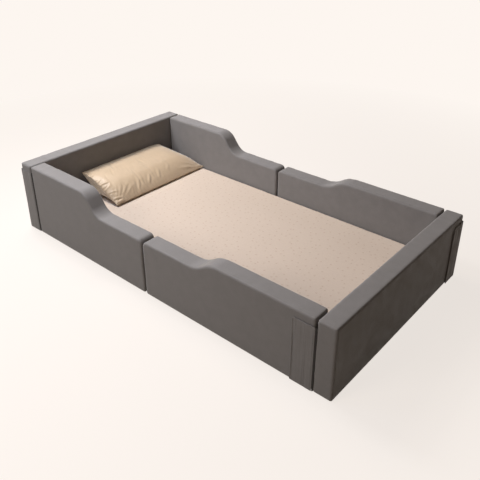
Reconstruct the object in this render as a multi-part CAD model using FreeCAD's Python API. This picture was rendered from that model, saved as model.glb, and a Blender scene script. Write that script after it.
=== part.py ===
"""A toddler floor bed: six zipped foam walls round a mattress and a pillow. Millimetres, +Z up.

The origin is the middle of the footprint, on the floor. The head is at -X, the foot at +X and the
near side at -Y. Each side is two half walls that open outward on cloth hinges at the corners.
"""
import FreeCAD, Part
import math
import os

# Overall sizes
LENGTH = 2000.0
WIDTH = 1090.0
WALL = 88.0
HEAD_HEIGHT = 395.0
FOOT_HEIGHT = 345.0
LOW_HEIGHT = 288.0
SPLIT_OFFSET = -37.0

# The S curves of the side walls, measured along the length
HEAD_HIGH_RUN = 505.0
HEAD_RAMP_RUN = 168.0
FOOT_HIGH_RUN = 572.0
FOOT_RAMP_RUN = 176.0
HEAD_RAMP_RADIUS = 88.0
FOOT_RAMP_RADIUS = 150.0
RAMP_STRAIGHT = 4.0
MID_CORNER_RADIUS = 24.0
EDGE_RADIUS = 10.0
BOTTOM_BEVEL = 4.0

# Gaps between the walls
CORNER_GAP = 4.0
MID_GAP = 7.0

# Covers and their zips
COVER = 2.0
FOAM_FIT = 0.4
BEVEL_SHARE = 0.88
ZIP_SLOT = 9.0
ZIP_TAPE_WIDTH = 12.0
ZIP_TAPE = 1.0
ZIP_BEAD = 2.0
ZIP_BEAD_BEVEL = 0.6
ZIP_SPLIT = 1.2
ZIP_END_MARGIN = 60.0
ZIP_RELIEF = 4.0
SLIDER_LENGTH = 11.0
SLIDER_WIDTH = 6.4
SLIDER_PLATE = 0.9
SLIDER_WEB = 0.6
SLIDER_CLEARANCE = 0.4
SLIDER_PARK = 1.0
SLIDER_MOUTH = 1.0
PULL_LENGTH = 24.0
PULL_WIDTH = 4.6

# Corner wings of doubled cloth with hook tape, on loop patches
WING_CLOTH = 1.6
WING_FIT = 0.3
WING_WIDTH = 102.0
WING_STRIP = 34.0
WING_DROP = 36.0
WING_LIFT = 3.0
WING_CORNER_RADIUS = 6.0
HOOK = 0.8
HOOK_WIDTH = 46.0
HOOK_MARGIN = 6.0
HOOK_INSET = 16.0
FLANGE = 1.6
FLANGE_BITE = 0.8

# Hook and loop strips on the meeting ends of the half walls
MID_STRIP_FIT = 0.9
MID_STRIP_WIDTH = 22.0
MID_STRIP_LIFT = 24.0
MID_STRIP_DROP = 44.0

# Base mat with its grip sheet and end tapes
GRIP = 1.0
BASE = 21.0
BASE_BEVEL = 3.0
BASE_TAPE = 1.0
BASE_TAPE_FIT = 0.3
BASE_TAPE_MARGIN = 60.0

# Mattress and fitted sheet
MATTRESS_TOP = 132.0
MATTRESS_GAP = 2.0
MATTRESS_RADIUS = 14.0
TICKING = 1.5
SHEET = 1.0
SHEET_FIT = 0.4
SHEET_TURN = 70.0
ELASTIC_WIDTH = 7.0
REST_GAP = 0.3

# Pillow, leaning on the head wall
PILLOW_WIDTH = 684.0
PILLOW_DEPTH = 300.0
PILLOW_SIDE_GAP = 5.0
PILLOW_WALL_GAP = 2.0
PILLOW_FRONT_SEAM = 9.0
PILLOW_BACK_SEAM = 80.0
PILLOW_CROWN = 75.0
PILLOW_RIDGE = 62.0
PILLOW_NOSE = 44.0
PILLOW_DRAW = 12.0
PILLOWCASE = 1.2
PILLOW_FIT = 0.4
LINING_CHORDS = 2

# Shares of the pillow's depth, from its front seam: the flat underside, then the points of its arcs
FLAT_SHARES = (0.12, 0.55)
NOSE_SHARE = 0.11
RIDGE_SHARE = 0.30
CROWN_SHARE = 0.64

# Shares of the pillow's half width, each with its fullness there: outside, then the filling's room
CASE_STATIONS = [(1.0, 0.12), (0.88, 0.62), (0.7, 1.0)]
ROOM_STATIONS = [(0.86, 0.58), (0.7, 0.95)]

# Planes that several pieces share
HALF_LENGTH = LENGTH / 2
HALF_WIDTH = WIDTH / 2
INNER_X = HALF_LENGTH - WALL
INNER_Y = HALF_WIDTH - WALL
HINGE_X = INNER_X - CORNER_GAP / 2
FOAM_INSET = COVER + FOAM_FIT
BASE_TOP = GRIP + BASE
BASE_GAP = 2 * BASE_TAPE + BASE_TAPE_FIT
MATTRESS_BOTTOM = BASE_TOP + REST_GAP
LEAF_STAND = 2 * HOOK + WING_FIT
MID_STRIP = (MID_GAP - MID_STRIP_FIT) / 2
PILLOW_MIDDLE = INNER_Y - PILLOW_SIDE_GAP - PILLOW_WIDTH / 2


def point(x, y, z):
    return FreeCAD.Vector(x, y, z)


def block(low, high):
    """A box between two corners, given in any order."""
    near = [min(a, b) for a, b in zip(low, high)]
    far = [max(a, b) for a, b in zip(low, high)]
    return Part.makeBox(far[0] - near[0], far[1] - near[1], far[2] - near[2], point(*near))


def lies_at(edge, height):
    return all(abs(vertex.Z - height) < 0.01 for vertex in edge.Vertexes)


def soft_edged(body, edges, radius, bevel):
    """The body with these edges rounded, but bevelled round its underside."""
    floor = body.BoundBox.ZMin
    rounded = body.makeFillet(radius, [edge for edge in edges if not lies_at(edge, floor)])
    return rounded.makeChamfer(bevel, [edge for edge in rounded.Edges if lies_at(edge, floor)])


def soft_block(low, high, radius, bevel):
    body = block(low, high)
    return soft_edged(body, body.Edges, radius, bevel)


def bevelled_block(low, high, bevel):
    body = block(low, high)
    return body.makeChamfer(bevel, body.Edges)


def parallel_bevel(bevel, fit):
    """The bevel that runs a fit inside another one."""
    return bevel - fit * (2 - math.sqrt(2))


def bevel_inside(radius, fit):
    """The bevel of a block that lies inside a round edge of this radius, a fit further in."""
    return parallel_bevel(BEVEL_SHARE * radius, fit)


def turned(shape, degrees):
    """The shape turned about the vertical axis through the origin."""
    copy = shape.copy()
    copy.rotate(point(0, 0, 0), point(0, 0, 1), degrees)
    return copy


def moved(shape, x, y, z):
    copy = shape.copy()
    copy.translate(point(x, y, z))
    return copy


def shrunk(shape, fit):
    """A smaller copy about the same middle, a fit clear of the shape below and above."""
    box = shape.BoundBox
    copy = shape.copy()
    copy.scale(1 - 2 * fit / box.ZLength, box.Center)
    return copy


def arc(start, through, end):
    return Part.Arc(point(*start), point(*through), point(*end)).toShape()


def line(start, end):
    return Part.LineSegment(point(*start), point(*end)).toShape()


# ---- walls ---------------------------------------------------------------------------------------

def end_wall(side, height, inset):
    """The head (side -1) or foot (side +1) wall over the full width, drawn in by inset.

    The cover is round-edged outside, over a bevelled underside. The foam and its room are bevelled.
    """
    low = (side * (INNER_X + inset), -HALF_WIDTH + inset, inset)
    high = (side * (HALF_LENGTH - inset), HALF_WIDTH - inset, height - inset)
    if inset:
        return bevelled_block(low, high, bevel_inside(EDGE_RADIUS - COVER, inset - COVER))
    return soft_block(low, high, EDGE_RADIUS, BOTTOM_BEVEL)


def ramp_radius(run, drop, radius):
    """The radius of a ramp's two arcs, limited so that a short straight is left between them."""
    return min(radius, (run ** 2 + drop ** 2 - RAMP_STRAIGHT ** 2) / (4 * drop))


def ramp_turn(run, drop, radius):
    """The angle that each of two equal arcs turns through, with a straight ramp between them."""
    reach = math.hypot(run, drop - 2 * radius)
    return math.atan2(drop - 2 * radius, run) + math.asin(2 * radius / reach)


def on_circle(centre, radius, angle):
    """A point of a circle in the XZ plane, at an angle in radians from the vertical towards +X."""
    return (centre[0] + radius * math.sin(angle), 0.0, centre[1] + radius * math.cos(angle))


def half_wall_outline(corner, mid, high_end, run, high, widest, inset):
    """The XZ outline of a half wall as a closed wire, with its high end at -X.

    It runs from x = corner to x = mid, and its S curve starts at x = high_end. The S curve's two
    arcs have the widest radius that they may.
    """
    radius = ramp_radius(run, high - LOW_HEIGHT, widest)
    turn = ramp_turn(run, high - LOW_HEIGHT, radius)
    crest = (high_end, high - radius)
    dip = (high_end + run, LOW_HEIGHT + radius)
    crest_radius = radius - inset
    dip_radius = radius + inset
    top = high - inset
    low = LOW_HEIGHT - inset
    left = corner + inset
    right = mid - inset
    mid_radius = MID_CORNER_RADIUS - inset
    mid_centre = (right - mid_radius, low - mid_radius)

    foot_left = (left, 0, inset)
    foot_right = (right, 0, inset)
    crest_start = on_circle(crest, crest_radius, 0)
    crest_middle = on_circle(crest, crest_radius, turn / 2)
    crest_stop = on_circle(crest, crest_radius, turn)
    dip_start = on_circle(dip, dip_radius, math.pi + turn)
    dip_middle = on_circle(dip, dip_radius, math.pi + turn / 2)
    dip_stop = on_circle(dip, dip_radius, math.pi)
    mid_start = on_circle(mid_centre, mid_radius, 0)
    mid_middle = on_circle(mid_centre, mid_radius, math.pi / 4)
    mid_stop = on_circle(mid_centre, mid_radius, math.pi / 2)
    edges = [
        line(foot_left, (left, 0, top)),
        line((left, 0, top), crest_start),
        arc(crest_start, crest_middle, crest_stop),
        line(crest_stop, dip_start),
        arc(dip_start, dip_middle, dip_stop),
        line(dip_stop, mid_start),
        arc(mid_start, mid_middle, mid_stop),
        line(mid_stop, foot_right),
        line(foot_right, foot_left),
    ]
    return Part.Wire(edges)


def half_wall_span(end):
    """Where a half wall's corner end and its mid end are: end is -1 at the head and +1 at the foot."""
    return end * (INNER_X - CORNER_GAP), SPLIT_OFFSET + end * MID_GAP / 2


def half_wall(end, side, inset):
    """Half of a side wall, drawn at the head and mirrored: side is -1 for near and +1 for far."""
    corner, mid = [-end * x for x in half_wall_span(end)]
    if end < 0:
        values = (HEAD_HIGH_RUN, HEAD_RAMP_RUN, HEAD_HEIGHT, HEAD_RAMP_RADIUS)
    else:
        values = (FOOT_HIGH_RUN, FOOT_RAMP_RUN, FOOT_HEIGHT, FOOT_RAMP_RADIUS)
    high_run, run, high, radius = values
    outline = half_wall_outline(corner, mid, high_run - HALF_LENGTH, run, high, radius, inset)
    body = Part.Face(outline).extrude(point(0, WALL - 2 * inset, 0))
    body.translate(point(0, INNER_Y + inset, 0))
    if inset:
        body = body.makeChamfer(bevel_inside(EDGE_RADIUS - COVER, inset - COVER), sharp_edges(body))
    else:
        body = soft_edged(body, sharp_edges(body), EDGE_RADIUS, BOTTOM_BEVEL)
    if end > 0:
        body = body.mirror(point(0, 0, 0), point(1, 0, 0))
    if side < 0:
        body = body.mirror(point(0, 0, 0), point(0, 1, 0))
    return body


def sharp_edges(body):
    """Every edge but the ones across the wall where the outline runs on smoothly."""
    found = []
    for edge in body.Edges:
        first, last = [vertex.Point for vertex in edge.Vertexes]
        across = abs(first.y - last.y) > 1
        if not across or corner_of_outline(body, first):
            found.append(edge)
    return found


def corner_of_outline(body, place):
    """True where the outline has a real corner: at its foot and at the high end's top."""
    box = body.BoundBox
    at_foot = abs(place.z - box.ZMin) < 0.01
    at_top = abs(place.z - box.ZMax) < 0.01 and abs(place.x - box.XMin) < 0.01
    return at_foot or at_top


# ---- zips ----------------------------------------------------------------------------------------

def upright_edges(body):
    return [edge for edge in body.Edges if abs(edge.Vertexes[0].Z - edge.Vertexes[1].Z) > 0.1]


def lengthwise_edges(body):
    return [edge for edge in body.Edges if abs(edge.Vertexes[0].X - edge.Vertexes[1].X) > 0.1]


def slider_plate(low, high):
    """One plate of a zip slider, with its four corners cut off."""
    plate = block(low, high)
    return plate.makeChamfer(SLIDER_WIDTH / 4, upright_edges(plate))


class Zip:
    """A zip along X on the underside of a cover, centred on the origin, with the cloth at z = 0."""

    def __init__(self, length, cover):
        self.length = length
        self.cover = cover
        self.half = length / 2

    def slot(self):
        half_slot = ZIP_SLOT / 2
        return block((-self.half, -half_slot, -1), (self.half, half_slot, self.cover + 1))

    def relief(self):
        """The room that the filling leaves over the zip."""
        half_relief = ZIP_SPLIT / 2 + ZIP_TAPE_WIDTH + ZIP_RELIEF
        reach = self.half + ZIP_RELIEF
        return block((-reach, -half_relief, 0), (reach, half_relief, self.cover + ZIP_RELIEF))

    def tapes(self):
        """Two tapes with an eight-sided coil along each meeting edge."""
        reach = self.half + ZIP_RELIEF / 2
        inner = ZIP_SPLIT / 2
        bead_low = self.cover + (ZIP_TAPE - ZIP_BEAD) / 2
        solids = []
        for side in (-1, 1):
            tape = block((-reach, side * inner, self.cover),
                         (reach, side * (inner + ZIP_TAPE_WIDTH), self.cover + ZIP_TAPE))
            coil = block((-self.half, side * inner, bead_low),
                         (self.half, side * (inner + ZIP_BEAD), bead_low + ZIP_BEAD))
            coil = coil.makeChamfer(ZIP_BEAD_BEVEL, lengthwise_edges(coil))
            solids.append(tape.fuse(coil).removeSplitter())
        return Part.makeCompound(solids)

    def slider(self):
        """Two plates joined by a web through the split, and a flat pull, parked at the -X end."""
        bead_top = self.cover + (ZIP_TAPE + ZIP_BEAD) / 2
        bead_low = self.cover + (ZIP_TAPE - ZIP_BEAD) / 2
        under = bead_low - SLIDER_CLEARANCE
        over = bead_top + SLIDER_CLEARANCE
        start = -self.half + SLIDER_CLEARANCE + SLIDER_PARK
        stop = start + SLIDER_LENGTH
        half = SLIDER_WIDTH / 2
        lower = slider_plate((start, -half, under - SLIDER_PLATE), (stop, half, under))
        upper = slider_plate((start, -half, over), (stop, half, over + SLIDER_PLATE))
        web = block((start + SLIDER_MOUTH, -SLIDER_WEB / 2, under - SLIDER_PLATE / 2),
                    (start + SLIDER_LENGTH / 2, SLIDER_WEB / 2, over + SLIDER_PLATE / 2))
        pull = self.pull(stop - SLIDER_LENGTH / 2, under - SLIDER_PLATE)
        return lower.fuse([upper, web, pull]).removeSplitter()

    def pull(self, start, low):
        half = PULL_WIDTH / 2
        tab = block((start, -half, low), (start + PULL_LENGTH, half, low + SLIDER_PLATE * 2 / 3))
        far = [edge for edge in upright_edges(tab) if edge.Vertexes[0].X > start + 1]
        return tab.makeChamfer(half / 2, far)


def zipped(outer, cavity, filling, zip_closer, place):
    """A cover with its zip slot, its filling with room for the zip, the tapes and the slider."""
    slot = place(zip_closer.slot())
    relief = place(zip_closer.relief())
    return {
        "cover": outer.cut(cavity).cut(slot),
        "filling": filling.cut(relief),
        "zip_tapes": place(zip_closer.tapes()),
        "zip_slider": place(zip_closer.slider()),
    }


def end_wall_parts(side, height):
    closer = Zip(WIDTH - 2 * ZIP_END_MARGIN, COVER)
    middle = side * (HALF_LENGTH - WALL / 2)
    return zipped(end_wall(side, height, 0), end_wall(side, height, COVER),
                  end_wall(side, height, FOAM_INSET), closer,
                  lambda shape: moved(turned(shape, 90), middle, 0, 0))


def half_wall_parts(end, side):
    corner, mid = half_wall_span(end)
    closer = Zip(abs(mid - corner) - 2 * ZIP_END_MARGIN, COVER)
    middle_y = side * (HALF_WIDTH - WALL / 2)
    return zipped(half_wall(end, side, 0), half_wall(end, side, COVER),
                  half_wall(end, side, FOAM_INSET), closer,
                  lambda shape: moved(shape, (corner + mid) / 2, middle_y, 0))


# ---- corner wings, drawn for the near side and turned by half a turn for the far side ------------

def wing_top(height):
    return height - WING_DROP


def strip_with_round_ends(start_x, stop_x, middle_y, height):
    """A cloth strip along X with half-round ends on the two fold lines."""
    half = WING_CLOTH / 2
    top = wing_top(height)
    flat = block((start_x, middle_y - half, WING_LIFT), (stop_x, middle_y + half, top))
    ends = [Part.makeCylinder(half, top - WING_LIFT, point(x, middle_y, WING_LIFT)) for x in (start_x, stop_x)]
    return flat.fuse(ends).removeSplitter()


def leaf_panel(length, height):
    """A flat leaf along +X from its fold, with its two free corners rounded."""
    half = WING_CLOTH / 2
    start = half + WING_FIT
    leaf = block((start, -half, WING_LIFT), (length, half, wing_top(height)))
    free = [edge for edge in leaf.Edges
            if edge.Vertexes[0].X > length - 1 and edge.Vertexes[1].X > length - 1
            and abs(edge.Vertexes[0].Y - edge.Vertexes[1].Y) > 0.1]
    return leaf.makeFillet(WING_CORNER_RADIUS, free)


def tape_panel(length, height, near_y, far_y):
    """A hook tape or loop patch near the free edge of a leaf that lies along +X."""
    low = (length - HOOK_MARGIN - HOOK_WIDTH, near_y, WING_LIFT + HOOK_INSET)
    high = (length - HOOK_MARGIN, far_y, wing_top(height) - HOOK_INSET)
    return block(low, high)


def wing_leaf_set(length, height):
    """The leaf, its hook tape and the loop patch that it meets, with the wall towards +Y."""
    inner_face = WING_CLOTH / 2
    hook = tape_panel(length, height, inner_face, inner_face + HOOK)
    patch_face = inner_face + HOOK + WING_FIT
    patch = tape_panel(length, height, patch_face, patch_face + HOOK)
    return leaf_panel(length, height), hook, patch


def round_corner_wing(height):
    """The wing that wraps the end wall's near corner at the head: fixed strip, then its leaf."""
    strip_y = -HALF_WIDTH - WING_FIT - WING_CLOTH / 2
    fold_x = -HALF_LENGTH - LEAF_STAND - WING_CLOTH / 2
    strip = strip_with_round_ends(fold_x, -HINGE_X, strip_y, height)
    flat_set = wing_leaf_set(WING_WIDTH, height)
    turned_set = [moved(turned(shape.mirror(point(0, 0, 0), point(0, 1, 0)), 90), fold_x, strip_y, 0)
                  for shape in flat_set]
    return [strip] + turned_set


def flat_wing(height):
    """The wing that lies on the half wall at the foot: its strip, then the leaf that peels."""
    strip_y = -HALF_WIDTH - LEAF_STAND - WING_CLOTH / 2
    fold_x = HINGE_X - WING_STRIP
    strip = strip_with_round_ends(fold_x, HINGE_X, strip_y, height)
    flat_set = wing_leaf_set(WING_WIDTH - WING_STRIP, height)
    placed = [moved(shape.mirror(point(0, 0, 0), point(1, 0, 0)), fold_x, strip_y, 0) for shape in flat_set]
    return [strip] + placed


def hinge_flange(wall_end_x, wall_towards, hinge_y, height):
    """The sewn seam between a wall's rounded upright edge and the hinge line at the near side."""
    centre_x = wall_end_x + wall_towards * EDGE_RADIUS
    centre_y = -HALF_WIDTH + EDGE_RADIUS
    hinge_x = math.copysign(HINGE_X, wall_end_x)
    span = math.hypot(centre_x - hinge_x, centre_y - hinge_y)
    start = WING_CLOTH / 2 + WING_FIT
    stop = span - EDGE_RADIUS + FLANGE_BITE
    seam = block((start, -FLANGE / 2, WING_LIFT), (stop, FLANGE / 2, wing_top(height)))
    seam = turned(seam, math.degrees(math.atan2(centre_y - hinge_y, centre_x - hinge_x)))
    return moved(seam, hinge_x, hinge_y, 0)


def round_wing_hinge(height, end):
    """The flange of a half wall whose wing wraps the end wall, for the near side at the head."""
    hinge_y = -HALF_WIDTH - WING_FIT - WING_CLOTH / 2
    flange = hinge_flange(-INNER_X + CORNER_GAP, 1, hinge_y, height)
    return turned(flange, 0 if end < 0 else 180)


def flat_wing_hinge(height, end):
    """The flange of an end wall whose wing lies on the half wall, for the near side at the foot."""
    hinge_y = -HALF_WIDTH - LEAF_STAND - WING_CLOTH / 2
    flange = hinge_flange(INNER_X, 1, hinge_y, height)
    return turned(flange, 0 if end > 0 else 180)


# ---- strips, base, mattress and pillow -----------------------------------------------------------

def mid_strips(side):
    """The hook strip on the head half's end and the loop strip on the foot half's end."""
    outer = side * (HALF_WIDTH - EDGE_RADIUS)
    inner = side * (HALF_WIDTH - EDGE_RADIUS - MID_STRIP_WIDTH)
    top = LOW_HEIGHT - MID_STRIP_DROP
    head_end = half_wall_span(-1)[1]
    foot_end = half_wall_span(1)[1]
    hook = block((head_end, outer, MID_STRIP_LIFT), (head_end + MID_STRIP, inner, top))
    loop = block((foot_end - MID_STRIP, outer, MID_STRIP_LIFT), (foot_end, inner, top))
    return hook, loop


def base_parts():
    """The base mat on its grip sheet, with hook tapes on its ends and loop tapes on the end walls."""
    reach_x = INNER_X - BASE_GAP
    reach_y = INNER_Y - BASE_GAP
    grip = block((-reach_x, -reach_y, 0), (reach_x, reach_y, GRIP))
    grip = grip.makeChamfer(BASE_BEVEL, upright_edges(grip))
    mat = bevelled_block((-reach_x, -reach_y, GRIP), (reach_x, reach_y, BASE_TOP), BASE_BEVEL)
    tape_y = reach_y - BASE_TAPE_MARGIN
    low = max(GRIP + BASE_BEVEL, BOTTOM_BEVEL)
    top = BASE_TOP - BASE_BEVEL
    hooks = []
    loops = []
    for side in (-1, 1):
        hooks.append(block((side * reach_x, -tape_y, low), (side * (reach_x + BASE_TAPE), tape_y, top)))
        loops.append(block((side * (INNER_X - BASE_TAPE), -tape_y, low), (side * INNER_X, tape_y, top)))
    return grip, mat, Part.makeCompound(hooks), Part.makeCompound(loops)


def mattress_block(inset):
    """The space of the mattress drawn in by inset. The sheet is round-edged over a bevelled underside."""
    reach_x = INNER_X - MATTRESS_GAP - inset
    reach_y = INNER_Y - MATTRESS_GAP - inset
    low = (-reach_x, -reach_y, MATTRESS_BOTTOM + inset)
    high = (reach_x, reach_y, MATTRESS_TOP - inset)
    if inset > SHEET:
        return bevelled_block(low, high, bevel_inside(MATTRESS_RADIUS - SHEET, inset - SHEET))
    return soft_block(low, high, MATTRESS_RADIUS - inset, parallel_bevel(BOTTOM_BEVEL, inset))


def sheet_parts():
    """A fitted sheet that turns under the mattress, and the elastic round its hem."""
    outer = mattress_block(0)
    room = mattress_block(SHEET)
    hem_x = INNER_X - MATTRESS_GAP - SHEET_TURN
    hem_y = INNER_Y - MATTRESS_GAP - SHEET_TURN
    under = MATTRESS_BOTTOM + SHEET
    hole = block((-hem_x, -hem_y, MATTRESS_BOTTOM - 1), (hem_x, hem_y, under + 1))
    sheet = outer.cut(room).cut(hole)
    ring = block((-hem_x, -hem_y, MATTRESS_BOTTOM), (hem_x, hem_y, under))
    gap = block((-hem_x + ELASTIC_WIDTH, -hem_y + ELASTIC_WIDTH, MATTRESS_BOTTOM - 1),
                (hem_x - ELASTIC_WIDTH, hem_y - ELASTIC_WIDTH, under + 1))
    return sheet, ring.cut(gap)


def mattress_parts():
    skin = SHEET + SHEET_FIT
    closer = Zip(WIDTH / 2, TICKING)
    base = MATTRESS_BOTTOM + skin
    return zipped(mattress_block(skin), mattress_block(skin + TICKING),
                  mattress_block(skin + TICKING + FOAM_FIT), closer,
                  lambda shape: moved(turned(shape, 90), 0, 0, base))


def pillow_section(y, fullness, inset):
    """One upright section of the pillow: flat below, crowned above, with a seam front and back.

    The outside is drawn with arcs. The lining and the filling inside it follow them in chords.
    """
    front = -INNER_X + PILLOW_WALL_GAP + PILLOW_DEPTH - inset
    back = -INNER_X + PILLOW_WALL_GAP + inset
    base = MATTRESS_TOP + REST_GAP
    rise = PILLOW_BACK_SEAM - PILLOW_FRONT_SEAM

    def place(share, offset):
        """A point at a share of the way from front to back seam, offset from the seam line."""
        seam = PILLOW_FRONT_SEAM + share * rise
        return (front + share * (back - front), y, base + seam + offset)

    def below(share, drop):
        return place(share, inset - drop * fullness)

    def above(share, lift):
        return place(share, lift * fullness - inset)

    toe, heel = [below(share, PILLOW_FRONT_SEAM + share * rise) for share in FLAT_SHARES]
    nose = place(0.0, 0.0)
    tail = place(1.0, 0.0)
    ridge = above(RIDGE_SHARE, PILLOW_RIDGE)
    edges = [
        line(nose, toe),
        line(toe, heel),
        line(heel, tail),
        arc(tail, above(CROWN_SHARE, PILLOW_CROWN), ridge),
        arc(ridge, above(NOSE_SHARE, PILLOW_NOSE), nose),
    ]
    if not inset:
        return Part.Wire(edges)
    corners = [nose, toe, heel]
    for curve in edges[3:]:
        corners += curve.discretize(LINING_CHORDS + 1)[:-1]
    return Part.makePolygon([point(*corner) for corner in corners + [nose]])


def pillow_form(inset):
    """A crowned loft across the width, with its two ends drawn in.

    Inset, it is the room for the filling, which stops short of the flat sewn ends.
    """
    half = ROOM_STATIONS if inset else CASE_STATIONS
    stations = [(-share, fullness) for share, fullness in half] + half[::-1]
    reach = PILLOW_WIDTH / 2
    sections = [pillow_section(PILLOW_MIDDLE + share * reach, fullness, inset) for share, fullness in stations]
    form = Part.makeLoft(sections, True, True)
    if inset:
        return form
    middle_x = -INNER_X + PILLOW_WALL_GAP + PILLOW_DEPTH / 2
    bend = ((PILLOW_DEPTH / 2) ** 2 + PILLOW_DRAW ** 2) / (2 * PILLOW_DRAW)
    for side in (-1, 1):
        centre_y = PILLOW_MIDDLE + side * (reach - PILLOW_DRAW + bend)
        bite = Part.makeCylinder(bend, HEAD_HEIGHT, point(middle_x, centre_y, MATTRESS_TOP - 1))
        form = form.cut(bite)
    return form


# ---- the whole bed -------------------------------------------------------------------------------

WALL_NAMES = {"head": (-1, 0), "foot": (1, 0), "front_head": (-1, -1), "front_foot": (1, -1),
              "back_head": (-1, 1), "back_foot": (1, 1)}


def wall_height(end):
    return HEAD_HEIGHT if end < 0 else FOOT_HEIGHT


def collect_walls():
    parts = {}
    for name, (end, side) in WALL_NAMES.items():
        pieces = half_wall_parts(end, side) if side else end_wall_parts(end, wall_height(end))
        parts[name + "_cover"] = pieces["cover"]
        parts[name + "_foam"] = pieces["filling"]
        parts[name + "_zip_tapes"] = pieces["zip_tapes"]
        parts[name + "_zip_slider"] = pieces["zip_slider"]
    for name, end in (("front_head", -1), ("back_foot", 1)):
        flange = round_wing_hinge(wall_height(end), end)
        parts[name + "_cover"] = parts[name + "_cover"].fuse(flange)
    for name, end in (("foot", 1), ("head", -1)):
        flange = flat_wing_hinge(wall_height(end), end)
        parts[name + "_cover"] = parts[name + "_cover"].fuse(flange)
    return parts


def collect_wings():
    parts = {}
    kinds = ("wing_strip", "wing_leaf", "wing_hook_tape", "wing_loop_patch")
    layout = (("front_head", round_corner_wing(HEAD_HEIGHT), 0),
              ("back_foot", round_corner_wing(FOOT_HEIGHT), 180),
              ("front_foot", flat_wing(FOOT_HEIGHT), 0),
              ("back_head", flat_wing(HEAD_HEIGHT), 180))
    for name, shapes, degrees in layout:
        for kind, shape in zip(kinds, shapes):
            parts[name + "_" + kind] = turned(shape, degrees)
    return parts


def collect_inside():
    parts = {}
    for name, side in (("front", -1), ("back", 1)):
        parts[name + "_mid_hook_strip"], parts[name + "_mid_loop_strip"] = mid_strips(side)
    names = ("base_grip_sheet", "base_mat", "base_hook_tapes", "base_loop_tapes")
    parts.update(zip(names, base_parts()))
    mattress = mattress_parts()
    parts["mattress_cover"] = mattress["cover"]
    parts["mattress_foam"] = mattress["filling"]
    parts["mattress_zip_tapes"] = mattress["zip_tapes"]
    parts["mattress_zip_slider"] = mattress["zip_slider"]
    parts["fitted_sheet"], parts["sheet_elastic"] = sheet_parts()
    room = pillow_form(PILLOWCASE)
    parts["pillowcase"] = pillow_form(0).cut(room)
    parts["pillow_filling"] = shrunk(room, PILLOW_FIT)
    return parts


def export(parts):
    os.makedirs("parts", exist_ok=True)
    for name, shape in parts.items():
        shape.exportStep("parts/" + name + ".step")
        print(name, len(shape.Solids), "solids", "valid" if shape.isValid() else "NOT VALID",
              round(shape.Volume / 1000, 2), "cm3")


bed = collect_walls()
bed.update(collect_wings())
bed.update(collect_inside())
export(bed)
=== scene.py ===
"""The looks of a toddler floor bed: padded walls in cloth covers, a mattress in its sheet and a pillow.

Metres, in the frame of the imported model: the head is at -X, the foot at +X and the near side at -Y.
"""
import itertools
import math
import bmesh
import bpy
import numpy as np
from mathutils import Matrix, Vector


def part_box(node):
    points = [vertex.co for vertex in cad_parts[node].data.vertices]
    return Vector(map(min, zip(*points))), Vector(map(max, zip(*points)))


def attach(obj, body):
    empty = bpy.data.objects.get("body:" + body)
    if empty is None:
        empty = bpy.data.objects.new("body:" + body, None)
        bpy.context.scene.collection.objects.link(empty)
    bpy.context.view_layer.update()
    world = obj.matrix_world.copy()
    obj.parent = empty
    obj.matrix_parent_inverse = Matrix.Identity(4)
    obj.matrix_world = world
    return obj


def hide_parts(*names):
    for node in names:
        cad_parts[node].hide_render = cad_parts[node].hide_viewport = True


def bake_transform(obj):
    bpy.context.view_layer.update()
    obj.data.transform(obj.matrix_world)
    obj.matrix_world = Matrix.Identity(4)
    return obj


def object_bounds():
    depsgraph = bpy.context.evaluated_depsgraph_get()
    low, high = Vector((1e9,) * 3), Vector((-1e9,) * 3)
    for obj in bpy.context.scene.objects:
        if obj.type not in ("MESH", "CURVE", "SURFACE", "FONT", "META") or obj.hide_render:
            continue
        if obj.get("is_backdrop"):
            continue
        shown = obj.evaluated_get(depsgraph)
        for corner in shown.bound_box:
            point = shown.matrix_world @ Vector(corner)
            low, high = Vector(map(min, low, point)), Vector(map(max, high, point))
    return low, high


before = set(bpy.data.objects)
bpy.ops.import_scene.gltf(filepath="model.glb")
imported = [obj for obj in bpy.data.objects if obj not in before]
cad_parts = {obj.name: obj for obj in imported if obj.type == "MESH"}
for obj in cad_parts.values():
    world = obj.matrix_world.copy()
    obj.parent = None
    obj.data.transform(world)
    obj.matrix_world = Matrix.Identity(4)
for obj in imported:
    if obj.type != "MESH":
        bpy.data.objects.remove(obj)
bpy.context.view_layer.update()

# Sizes that the solids share with this script and that a node's box doesn't give
FOAM_INSET = 0.0024
EDGE = 0.010
HEAD_HIGH_RUN = 0.505
HEAD_RAMP_RUN = 0.168
HEAD_RAMP_RADIUS = 0.088
FOOT_HIGH_RUN = 0.572
FOOT_RAMP_RUN = 0.176
FOOT_RAMP_RADIUS = 0.150
LOW_HEIGHT = 0.288
MID_CORNER = 0.024
ZIP_SLOT = 0.009
ZIP_END = 0.002

# Grid sizes of the meshes
WALL_GRID = 0.0065
MATTRESS_GRID = 0.009

# How deep the cloth's relief is
BROAD_RELIEF = 0.0007
FINE_RELIEF = 0.0003
PUCKER = 0.0009
PUCKER_PITCH = 0.021
PUCKER_REACH = 0.022

# Camera of the photograph: where it stands, the way it looks, its lens and its shift
CAMERA_PLACE = (1.81113, -2.00569, 1.72055)
CAMERA_AZIMUTH = math.radians(-40.758)
CAMERA_ELEVATION = math.radians(27.093)
CAMERA_LENS = 45.149
CAMERA_SHIFT = -0.1

# Colours of the studio, the walls, the sheet, the pillowcase and the print
CREAM = (0.982, 0.922, 0.871)
WALL_GREY = (0.212, 0.203, 0.200)
SHEET_CREAM = (0.64, 0.538, 0.452)
PILLOW_CREAM = (0.55, 0.415, 0.275)
SPRIG_BROWN = (0.45, 0.27, 0.19)
SPRIG_GREEN = (0.45, 0.34, 0.24)
SPRIG_PITCH = 0.038

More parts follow.
